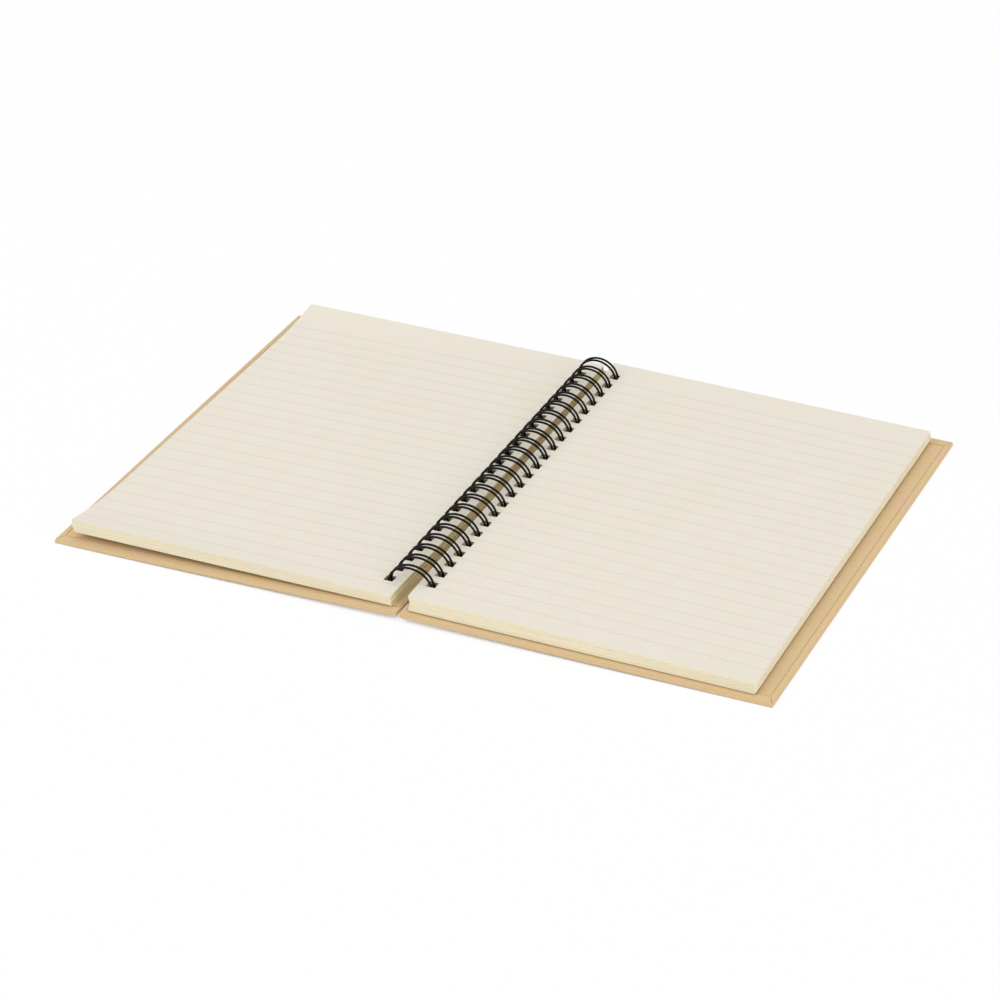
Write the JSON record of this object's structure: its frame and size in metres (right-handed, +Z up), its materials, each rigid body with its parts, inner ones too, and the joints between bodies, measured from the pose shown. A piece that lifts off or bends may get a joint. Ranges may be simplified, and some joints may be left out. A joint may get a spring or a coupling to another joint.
{
  "type": "spiral notebook",
  "caption": "Open ruled notebook with two kraft board covers and two blocks of sheets that turn on a twin-loop wire along the spine.",
  "frame": {"origin": "on the table, under the middle of the spine, at the bottom centre of the bounding box", "axes": "+X to the right across the open spread, +Y along the spine from the foot to the head of the sheets, +Z up"},
  "size_m": [0.3178, 0.217, 0.0188],
  "materials": {
    "kraft_board": "matt kraft paper over grey board",
    "kraft_liner": "matt kraft paper",
    "cream_paper": "uncoated cream paper",
    "black_wire": "glossy black nylon-coated steel wire"
  },
  "bodies": {
    "binding": {"binding_wire": "black_wire"},
    "front_cover": {"front_cover": "kraft_board", "front_cover_liner": "kraft_liner"},
    "left_pages": {"left_pages": "cream_paper"},
    "back_cover": {"back_cover": "kraft_board", "back_cover_liner": "kraft_liner"},
    "right_pages": {"right_pages": "cream_paper"}
  },
  "joints": [
    {"name": "front_cover_turn", "type": "hinge", "parent": "binding", "child": "front_cover", "pos_m": [0, 0, 0.0094], "axis": [0, 1, 0], "range_deg": [-4, 181.3]},
    {"name": "left_pages_turn", "type": "hinge", "parent": "front_cover", "child": "left_pages", "pos_m": [0, 0, 0.0094], "axis": [0, 1, 0], "range_deg": [0, 178.4]},
    {"name": "back_cover_turn", "type": "hinge", "parent": "binding", "child": "back_cover", "pos_m": [0, 0, 0.0094], "axis": [0, 1, 0], "range_deg": [-181.3, 4]},
    {"name": "right_pages_turn", "type": "hinge", "parent": "back_cover", "child": "right_pages", "pos_m": [0, 0, 0.0094], "axis": [0, 1, 0], "range_deg": [-178.4, 0]}
  ]
}
